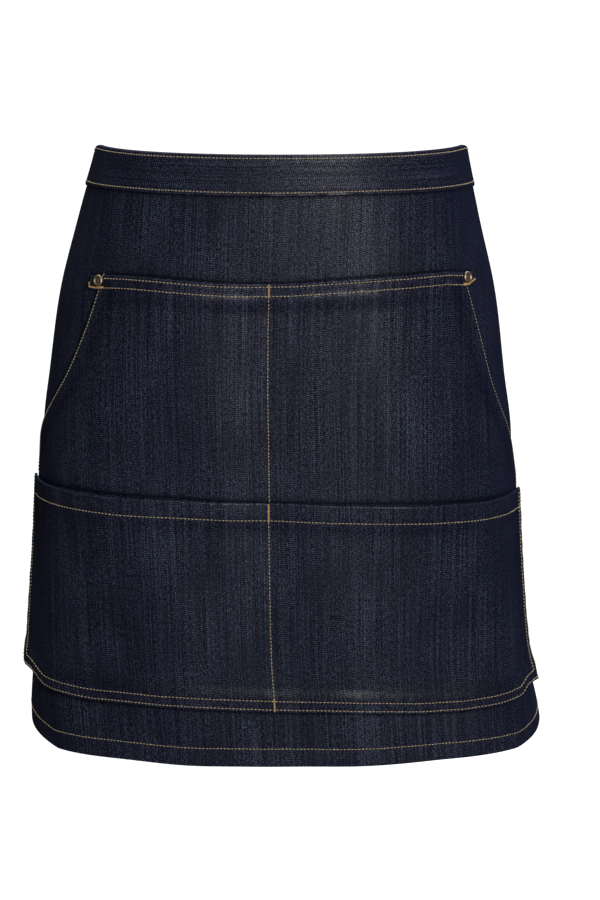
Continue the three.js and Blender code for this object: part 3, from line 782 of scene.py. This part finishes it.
# Waistband: one strip folded over the panel's top edge
def makeBand():
    gap, cloth, height = body["layerGap"], body["cloth"], band["height"]
    outer, inner, lip = gap + cloth, -2 * cloth - gap, height - cloth / 2
    crown, slotTop = (3 * cloth + 2 * gap) / 2, cloth + band["topRound"]
    a = lines(-bandHalf, bandHalf, band["step"])
    turns = np.linspace(0, math.pi, 9)[1:-1]

    def straight(out, start, end, steps):
        return [(out, d) for d in np.linspace(start, end, steps)]

    def rolled(out):
        return [(out + cloth / 2 - cloth / 2 * math.cos(t), lip + cloth / 2 * math.sin(t)) for t in turns]

    # the section's outline: down the outside from its lip, over the crown, and back through the slot
    outside = straight(outer, lip, crown * 0.6, 17)
    over = [((outer + inner) / 2 + crown * math.cos(t), crown * 0.6 * (1 - math.sin(t))) for t in turns]
    longWay = outside + over + straight(inner, crown * 0.6, lip, 17)
    slot = straight(-cloth - gap, lip, slotTop, 12) + straight(gap, slotTop, lip, 12)
    loop = longWay + rolled(inner) + slot + rolled(gap)
    count, foldEnd = len(loop), len(outside + over)
    across = np.repeat(a, count)
    out, down = [np.tile(part, len(a)) for part in zip(*loop)]
    onOuter = np.tile(np.arange(count) < len(outside), len(a))
    out = out + np.where(onOuter, bandTop(across, down) - outer, 0)
    points = drape(across, down, out)
    base, step = np.arange(len(a) - 1)[:, None] * count, np.arange(count)[None, :]
    i, j = base + step, base + (step + 1) % count
    faces = faceOut(points, np.stack([i, j, j + count, i + count], -1).reshape(-1, 4))
    ends = endFaces(count, len(longWay), len(a))
    flat = np.stack([np.tile(travelAlong(*zip(*loop)), len(a)), across], -1)
    # the band's crown and rolled lips take the paler fold colour
    worn = [1.0 if len(outside) <= k < foldEnd or k >= count - len(turns) else 0.0 for k in range(count)]
    piece = setMesh("bandCloth", points, faces.tolist() + ends, flat, [denim], None, np.tile(worn, len(a)))
    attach(piece, "root")
    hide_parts("waistband")
    return piece


def endFaces(count, longCount, steps):
    # the band's two ends, as strips of triangles between the section's long way and its way back
    longWay, back = list(range(longCount)), list(range(count - 1, longCount - 1, -1))
    first, i, j = [], 0, 0
    while i < len(longWay) - 1 or j < len(back) - 1:
        if j >= len(back) - 1 or (i < len(longWay) - 1 and (i + 1) / len(longWay) <= (j + 1) / len(back)):
            first.append((longWay[i], longWay[i + 1], back[j]))
            i += 1
        else:
            first.append((longWay[i], back[j + 1], back[j]))
            j += 1
    base = (steps - 1) * count
    return [f[::-1] for f in first] + [tuple(base + k for k in f) for f in first]


# The strap that closes the loop behind
def makeTie():
    start = panelHalf + 2 * body["layerGap"]
    inset = tie["inset"]
    s = np.linspace(start, 2 * waistHalf - start, 60)
    d = np.linspace(inset + tie["round"], band["height"] - inset - tie["round"], 12)
    across, down = np.meshgrid(s, d)
    top = 0.00012 * wobble(across + 0.3 * down, 0.006, 5)

    def hang(across, down, out):
        signed = np.where(across <= waistHalf, across, across - 2 * waistHalf)
        halfHere = np.interp(down, formDown, formHalf)
        blend = np.clip((np.abs(signed) - start) / (waistHalf - start), 0, 1)
        return drape(signed * (1 + (halfHere / waistHalf - 1) * blend), down, out)

    piece = sheetPiece("tieCloth", across, down, hang, top, np.full_like(top, body["cloth"]),
                       lambda a, b: np.ones(len(a), bool), [denim, denimReverse], turned=True)
    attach(piece, "root")
    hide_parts("back_tie")
    return piece


# Patch pockets
def makePocket(name, node, mouth, sidesAt, topAt, rows, shade):
    cloth = body["cloth"]
    d = lines(mouth + cloth, pocketFloor - cloth, 0.0026,
              [mouth + pocket["mouthHem"], pocketFloor - pocket["seam"]] + rows)
    share = lines(0.0, 1.0, 0.0049)
    left, right = sidesAt(d)
    left, right = left + cloth, right - cloth
    seam = pocket["seam"]
    # share runs over the room between the seams, and the seams keep their width
    inner = left[:, None] + seam + (right - left - 2 * seam)[:, None] * share[None, :]
    edge = seam * np.linspace(0, 1, 6)[None, :-1]
    across = np.hstack([left[:, None] + edge, inner, right[:, None] - edge[:, ::-1]])
    down = np.repeat(d[:, None], across.shape[1], 1)

    def hemmed(across, down):
        fromEdge = fromSeams(across, down, *sidesAt(down))
        return (fromEdge < pocket["seam"]) | (down - mouth < pocket["mouthHem"])

    thick = np.where(hemmed(across.ravel(), down.ravel()).reshape(across.shape), 2, 1) * cloth
    piece = sheetPiece(name, across, down, drape, topAt(across, down), thick, hemmed, [denim, denimReverse],
                       shade=shade)
    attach(piece, "root")
    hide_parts(node)
    return piece


makePanel()
makeBand()
makeTie()
makePocket("upperPocketCloth", "upper_pocket", pocket["upperDrop"], upperSides, upperTop,
           [slantStart, lowerDrop - 0.0004, lowerDrop - 0.0022],
           upperShade)
makePocket("lowerPocketCloth", "lower_pocket", lowerDrop, lowerSides, lowerTop,
           [], lowerShade)
print("stage: cloth pieces made")

# Stitches: short arcs of thread that dive into the cloth at both ends
stitch = {"pitch": 0.0029, "length": 0.0023, "radius": 0.00041, "rise": 0.00036, "sides": 6, "rings": 6}


def tubeFaces(rings, sides):
    # the quads of a tube, from rings of points that follow one another
    turn = [(k, (k + 1) % sides) for k in range(sides)]
    return [(i + k, i + n, i + sides + n, i + sides + k) for i in range(0, (rings - 1) * sides, sides)
            for k, n in turn]


def threadTubes(start, end, up, radius, rise, sides, rings, sink=0.0002):
    # closed tapered arcs from start to end, one for each row of the arrays
    count = len(start)
    along = end - start
    length = np.linalg.norm(along, axis=1, keepdims=True)
    forward = along / np.maximum(length, 1e-9)
    up = up - forward * np.sum(up * forward, axis=1, keepdims=True)
    up = up / np.linalg.norm(up, axis=1, keepdims=True)
    across = np.cross(forward, up)
    u = np.linspace(0, 1, rings)
    girth = np.maximum(np.sin(math.pi * (0.06 + 0.88 * u)), 0) ** 0.45
    height = (rise + sink) * np.sin(math.pi * u) ** 0.7 - sink
    turn = np.linspace(0, 2 * math.pi, sides, endpoint=False)
    centre = start[:, None] + along[:, None] * u[None, :, None] + up[:, None] * height[None, :, None]
    ring = across[:, None] * np.cos(turn)[None, :, None] + up[:, None] * np.sin(turn)[None, :, None]
    points = centre[:, :, None] + ring[:, None] * (radius * girth)[None, :, None, None]
    points = points.reshape(count, rings * sides, 3)
    tips = np.stack([start - up * sink - forward * radius * 0.2, end - up * sink + forward * radius * 0.2], 1)
    points = np.concatenate([points, tips], 1)
    each = rings * sides + 2
    caps = [(each - 2, (k + 1) % sides, k) for k in range(sides)]
    last = (rings - 1) * sides
    caps += [(each - 1, last + k, last + (k + 1) % sides) for k in range(sides)]
    offset = (np.arange(count) * each)[:, None, None]
    quads = (np.array(tubeFaces(rings, sides))[None] + offset).reshape(-1, 4)
    triangles = (np.array(caps)[None] + offset).reshape(-1, 3)
    # each stitch has its own stretch of the thread's look
    flat = np.zeros((count, each, 2))
    flat[:, :, 0] = np.arange(count)[:, None] * 0.0137
    flat[:, :-2, 0] += np.repeat(u, sides)[None] * length
    flat[:, :-2, 1] = np.tile(turn / (2 * math.pi), rings)[None] * 0.001
    return points.reshape(-1, 3), quads, triangles, flat.reshape(-1, 2)


def threadPiece(name, tubes, material):
    points, faces, flats, base = [], [], [], 0
    for p, quads, triangles, flat in tubes:
        points.append(p)
        faces += (quads + base).tolist() + (triangles + base).tolist()
        flats.append(flat)
        base += len(p)
    piece = setMesh(name, np.concatenate(points), faces, np.concatenate(flats), [material])
    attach(piece, "root")
    return piece


def resample(across, down, pitch):
    # where each stitch of a flat line starts and ends, in even steps
    travel = travelAlong(across, down)
    at = np.arange(0, travel[-1] - pitch * 0.5, pitch)
    return [np.interp(at + more, travel, line) for more in (0, stitch["length"]) for line in (across, down)]


def spot(topAt, across, down, extra=0.0):
    return drape(across, down, topAt(across, down) + extra)


def stitchRow(line, topAt, seed, thin=1.0):
    # line is a list or pair of arrays of flat places
    a0, d0, a1, d1 = resample(*[np.asarray(v, float) for v in line], stitch["pitch"])
    stray = 0.00012 * wobble(np.arange(len(a0)), 1.7, seed)
    a0, a1, d0, d1 = a0 + stray, a1 + stray * 0.6, d0 + stray, d1 + stray * 0.5
    middle = (a0 + a1) / 2, (d0 + d1) / 2
    up = spot(topAt, *middle, 0.001) - spot(topAt, *middle)
    return threadTubes(spot(topAt, a0, d0), spot(topAt, a1, d1), up, stitch["radius"] * thin,
                       stitch["rise"] * thin, stitch["sides"], stitch["rings"])


def slantLine(side, inset, start, end):
    d = np.linspace(start, end, 60)
    left, right = upperSides(np.maximum(d, slantStart + 0.0002))
    return (left + inset if side < 0 else right - inset), d


def level(drop, start, end):
    a = np.linspace(start, end, 160)
    return a, np.full_like(a, drop)


def upright(place, start, end):
    d = np.linspace(start, end, 80)
    return np.full_like(d, place), d


bandThreads = [stitchRow(level(row, -bandHalf + 0.003, bandHalf - 0.003), bandTop, 1 + k)
               for k, row in enumerate(band["rows"])]
panelThreads = [stitchRow(level(hemRow, -panelHalf + 0.004, panelHalf - 0.004), panelTop, 5)]
for k, side in enumerate((-1, 1)):
    bandThreads.append(stitchRow(upright(side * (bandHalf - 0.004), 0.004, 0.029), bandTop, 3 + k))
    sideRow = upright(side * (panelHalf - panel["sideRow"]), 0.036, body["length"] - 0.004)
    panelThreads.append(stitchRow(sideRow, panelTop, 6 + k))
mouthLeft, mouthRight = [float(v[0]) for v in upperSides(np.array([slantStart + 0.001]))]
slantEnds = (slantStart + 0.001, lowerDrop - 0.002)
upperDivider, lowerDivider = pocket["divider"] + 0.0015, pocket["divider"] + 0.0008
firstRow, secondRow = pocket["upperRows"]
upperThreads = [
    stitchRow(level(firstRow, mouthLeft + 0.004, mouthRight - 0.004), upperTop, 8),
    stitchRow(level(secondRow, mouthLeft + 0.003, mouthRight - 0.003), upperTop, 9),
    stitchRow(slantLine(-1, 0.0025, *slantEnds), upperTop, 10, 0.85),
    stitchRow(slantLine(1, 0.0025, *slantEnds), upperTop, 11, 0.62),
    stitchRow(upright(upperDivider, 0.0985, lowerDrop + 0.004), upperTop, 12),
]
rowLeft, rowRight = [float(v) for v in lowerSides(mouthRow)]
lowerThreads = [
    stitchRow(level(mouthRow, rowLeft + 0.001, rowRight - 0.001), lowerTop, 13),
    stitchRow(upright(lowerDivider, lowerDrop + 0.001, pocketFloor - 0.001), lowerTop, 14),
]
for inset in pocket["twinRows"]:
    bottom = pocketFloor - inset
    sideDown = np.linspace(lowerDrop + 0.002, bottom, 60)
    left, right = lowerSides(sideDown)
    left, right = left + inset, right - inset
    across = np.concatenate([left, np.linspace(left[-1], right[-1], 300), right[::-1]])
    down = np.concatenate([sideDown, np.full(300, bottom), sideDown[::-1]])
    lowerThreads.append(stitchRow((across, down), lowerTop, 20 + int(inset * 1e4)))


def strand(line, topAt, thick):
    # a loose bit of thread lying over the cloth
    a, d = [np.asarray(v, float) for v in line]
    at = spot(topAt, a, d, thick)
    up = spot(topAt, a[:-1], d[:-1], 0.002) - at[:-1]
    return threadTubes(at[:-1], at[1:], up, thick, 0.0002, 6, 6, 0.0)


rowEnd = mouthLeft + 0.0042
cornerEnd = float(lowerSides(np.array([pocketFloor]))[1][0]) - 0.0052
looseEnd = [rowEnd + more for more in (0, 0.0004, 0.0020, 0.0034)], [0.1012, 0.0996, 0.0978, 0.0962]
knot = ([cornerEnd + more for more in (0, 0.0012, 0.0003, 0.0016)],
        [pocketFloor - up for up in (0.0006, 0.0020, 0.0028, 0.0040)])
upperThreads.append(strand(looseEnd, upperTop, 0.00034))
lowerThreads.append(strand(knot, lowerTop, 0.0006))
threadPiece("bandStitches", bandThreads, khakiThread)
threadPiece("panelStitches", panelThreads, khakiThread)
threadPiece("upperPocketStitches", upperThreads, khakiThread)
threadPiece("lowerPocketStitches", lowerThreads, khakiThread)
print("stage: stitch rows sewn")

# Bar tacks: close threads laid across a short bar
tack = {"spacing": 0.00036, "radius": 0.00024, "rise": 0.0004, "width": 0.0021}


def barTack(line, topAt, seed, width=tack["width"]):
    across, down = [np.asarray(v, float) for v in line]
    travel = travelAlong(across, down)
    at = np.arange(0, travel[-1], tack["spacing"])
    a, d = np.interp(at, travel, across), np.interp(at, travel, down)
    wayA, wayD = np.gradient(a), np.gradient(d)
    size = np.hypot(wayA, wayD)
    half = width / 2 * (1 + 0.28 * wobble(np.arange(len(a)), 1.0, seed))
    skew = 0.00022 * np.where(np.arange(len(a)) % 2, 1, -1)
    # from one side of the bar to the other, leaning to and fro
    moreA, moreD = (-wayD * half + wayA * skew) / size, (wayA * half + wayD * skew) / size
    up = spot(topAt, a, d, 0.001) - spot(topAt, a, d)
    start, end = spot(topAt, a + moreA, d + moreD), spot(topAt, a - moreA, d - moreD)
    return threadTubes(start, end, up, tack["radius"], tack["rise"], 6, 5)


tackLeft, tackRight = mouthLeft - pocket["earReach"], mouthRight + pocket["earReach"]
tackDrop, tackBend = slantStart - 0.0014, mouthRight + 0.0010
tacks = [
    barTack(([tackLeft + 0.0012, mouthLeft + 0.0004], [tackDrop, tackDrop + 0.0002]), upperTop, 1, 0.0012),
    barTack(([mouthLeft, mouthLeft + 0.0065], [tackDrop + 0.0002, tackDrop + 0.0004]), upperTop, 8, 0.0019),
    barTack(([tackLeft + 0.0010, tackLeft + 0.0014], [tackDrop - 0.0036, tackDrop]), upperTop, 2, 0.0009),
    barTack(([mouthRight - 0.0065, tackBend], [tackDrop + 0.0004, tackDrop + 0.0002]), upperTop, 3),
    barTack(([tackBend, tackRight - 0.0012], [tackDrop, tackDrop - 0.0024]), upperTop, 4, 0.0016),
    barTack(upright(upperDivider, 0.0985, 0.1085), upperTop, 5, 0.0016),
    barTack(upright(lowerDivider, lowerDrop + 0.0012, lowerDrop + 0.0150), lowerTop, 6, 0.0017),
    barTack(upright(lowerDivider, pocketFloor - 0.0115, pocketFloor - 0.0010), lowerTop, 7, 0.0016),
]
threadPiece("barTacks", tacks, orangeThread)
print("stage: bar tacks sewn")

# Rivets: a rolled rim round a dished middle with a small nub, on a shank with a flat back
rivet = {"radius": 0.0046, "rim": 0.0009, "crown": 0.0011, "shank": 0.0015, "back": 0.0036,
         "backThick": 0.0008, "backGap": 0.0007, "down": 0.004, "in": 0.0015, "segments": 56}
# the dished middle and its nub: radius, depth below the top
rivetDish = [(0.0027, 0.00062), (0.0022, 0.00085), (0.0017, 0.00088), (0.0012, 0.00080), (0.0009, 0.00050),
             (0.0005, 0.00032), (0.0, 0.00028)]


def makeRivet(name, node, side):
    left, right = [float(v[0]) for v in upperSides(np.array([slantStart + 1e-5]))]
    across = left + rivet["in"] if side < 0 else right - rivet["in"]
    down = pocket["upperDrop"] + rivet["down"]
    face = float(upperFace(np.array([across]), np.array([down]))[0])
    centre = drape(across, down, face)
    sideways = drape(across + 0.002, down, face) - drape(across - 0.002, down, face)
    downwards = drape(across, down + 0.002, face) - drape(across, down - 0.002, face)
    out = Vector(np.cross(downwards, sideways)).normalized()
    r, seat = rivet["radius"], 0.0001
    top = seat + rivet["rim"] + rivet["crown"]
    seamFace = body["pocketGap"] + 2 * body["cloth"]
    back = -(seamFace + body["cloth"] + rivet["backGap"] + rivet["backThick"])
    profile = [(0.0, back), (rivet["back"] - 0.0003, back), (rivet["back"], back + 0.0003),
               (rivet["back"], back + rivet["backThick"]), (rivet["shank"], back + rivet["backThick"]),
               (rivet["shank"], seat), (r - 0.0002, seat)]
    for turn in np.linspace(-0.30, math.pi * 0.62, 10):
        across, up = rivet["crown"] * math.cos(turn), rivet["crown"] * math.sin(turn)
        profile.append((r - rivet["crown"] + across, seat + rivet["rim"] + up))
    profile += [(radius, top - depth) for radius, depth in rivetDish]
    n = rivet["segments"]
    points, flat = [], []
    for radius, height in profile:
        for turn in np.linspace(0, 2 * math.pi, n, endpoint=False):
            dent = 0.00004 * math.sin(3 * turn + side) * min(radius / r, 1) if height > seat else 0
            points.append((radius * math.cos(turn), radius * math.sin(turn), height + dent))
            flat.append((radius / r * 0.001, turn / (2 * math.pi) * 0.001))
    lean = Vector((0, 0, 1)).rotation_difference(out).to_matrix().to_4x4()
    turned = Matrix.Translation(Vector(centre)) @ lean
    place = np.array([turned @ Vector(p) for p in points])
    piece = setMesh(name, place, tubeFaces(len(profile), n), flat, [agedBrass])
    mergeTips(piece)
    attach(piece, "root")
    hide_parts(node)
    return piece


def mergeTips(piece):
    # the lathe's first and last rings are single points
    shape = bmesh.new()
    shape.from_mesh(piece.data)
    bmesh.ops.remove_doubles(shape, verts=shape.verts, dist=1e-6)
    bmesh.ops.recalc_face_normals(shape, faces=shape.faces)
    shape.to_mesh(piece.data)
    shape.free()
    piece.data.shade_smooth()


makeRivet("rivetLeft", "rivet_left", -1)
makeRivet("rivetRight", "rivet_right", 1)
print("stage: rivets set")

# Floor, light and camera
studio = {
    "floorSize": 60, "floorDrop": -0.78, "floorTone": 0.90, "worldStrength": 0.075, "aim": (0, 0, -0.24),
    "keyPower": 88.0, "keyTurn": 16.0, "keyReach": 3.0, "keyHeight": 0.72, "keySize": (0.55, 1.1),
    "fillPower": 2.0, "fillSize": 1.6, "fillPlace": (-1.6, -2.0, 0.6), "sunStrength": 4.2,
    "sunPlace": (0, 3, 4), "sunAim": (0, 1.2, 0),
}


def makeFloor():
    size, z = studio["floorSize"], studio["floorDrop"]
    mesh = bpy.data.meshes.new("floor")
    corners = [(-size, -size, z), (size, -size, z), (size, size, z), (-size, size, z)]
    mesh.from_pydata(corners, [], [(0, 1, 2, 3)])
    material, tree, shader = newMaterial("paleFloor")
    feedAll(tree, shader, {"Base Color": solid([studio["floorTone"]] * 3), "Roughness": 0.9,
                           "Specular IOR Level": 0.1})
    mesh.materials.append(material)
    floor = addObject("floor", mesh)
    # the floor shows, but throws no light up into the dark cloth
    floor.visible_diffuse, floor.visible_glossy = False, False


def makeLight(name, kind, power, place, target, **settings):
    light = bpy.data.lights.new(name, kind)
    light.energy = power
    for key, value in settings.items():
        setattr(light, key, value)
    thing = addObject(name, light)
    thing.location = place
    thing.rotation_euler = (Vector(target) - thing.location).to_track_quat("-Z", "Y").to_euler()


def makeLights():
    world = bpy.data.worlds.new("studio")
    world.use_nodes = True
    backdrop = world.node_tree.nodes["Background"]
    backdrop.inputs[0].default_value = (1, 1, 1, 1)
    backdrop.inputs[1].default_value = studio["worldStrength"]
    bpy.context.scene.world = world
    # a tall soft box, a little to the right of the camera
    turn, reach = math.radians(studio["keyTurn"]), studio["keyReach"]
    width, height = studio["keySize"]
    place = (reach * math.sin(turn), -reach * math.cos(turn), studio["keyHeight"])
    makeLight("key", "AREA", studio["keyPower"], place, studio["aim"],
              shape="RECTANGLE", size=width, size_y=height)
    makeLight("fill", "AREA", studio["fillPower"], studio["fillPlace"], studio["aim"],
              size=studio["fillSize"])
    makeLight("backSun", "SUN", studio["sunStrength"], studio["sunPlace"], studio["sunAim"], angle=0.6)


# The camera stands where the photo's stood: 2.2 m in front, a little above the waist, looking down
view = {"distance": 2.2, "height": 0.1947, "aside": 0.0153, "pitch": 11.52, "focal": 2728, "imageHeight": 900}


def makeCamera():
    camera = bpy.data.cameras.new("photoView")
    camera.sensor_width = 36
    camera.lens = view["focal"] / view["imageHeight"] * 36
    camera.clip_end = 200
    cameraObject = addObject("photoView", camera)
    cameraObject.location = (view["aside"], -view["distance"], view["height"])
    cameraObject.rotation_euler = (math.radians(90 - view["pitch"]), 0, 0)
    bpy.context.scene.camera = cameraObject


makeFloor()
makeLights()
makeCamera()
bpy.context.scene.view_settings.view_transform = "Standard"
print("stage: studio ready")
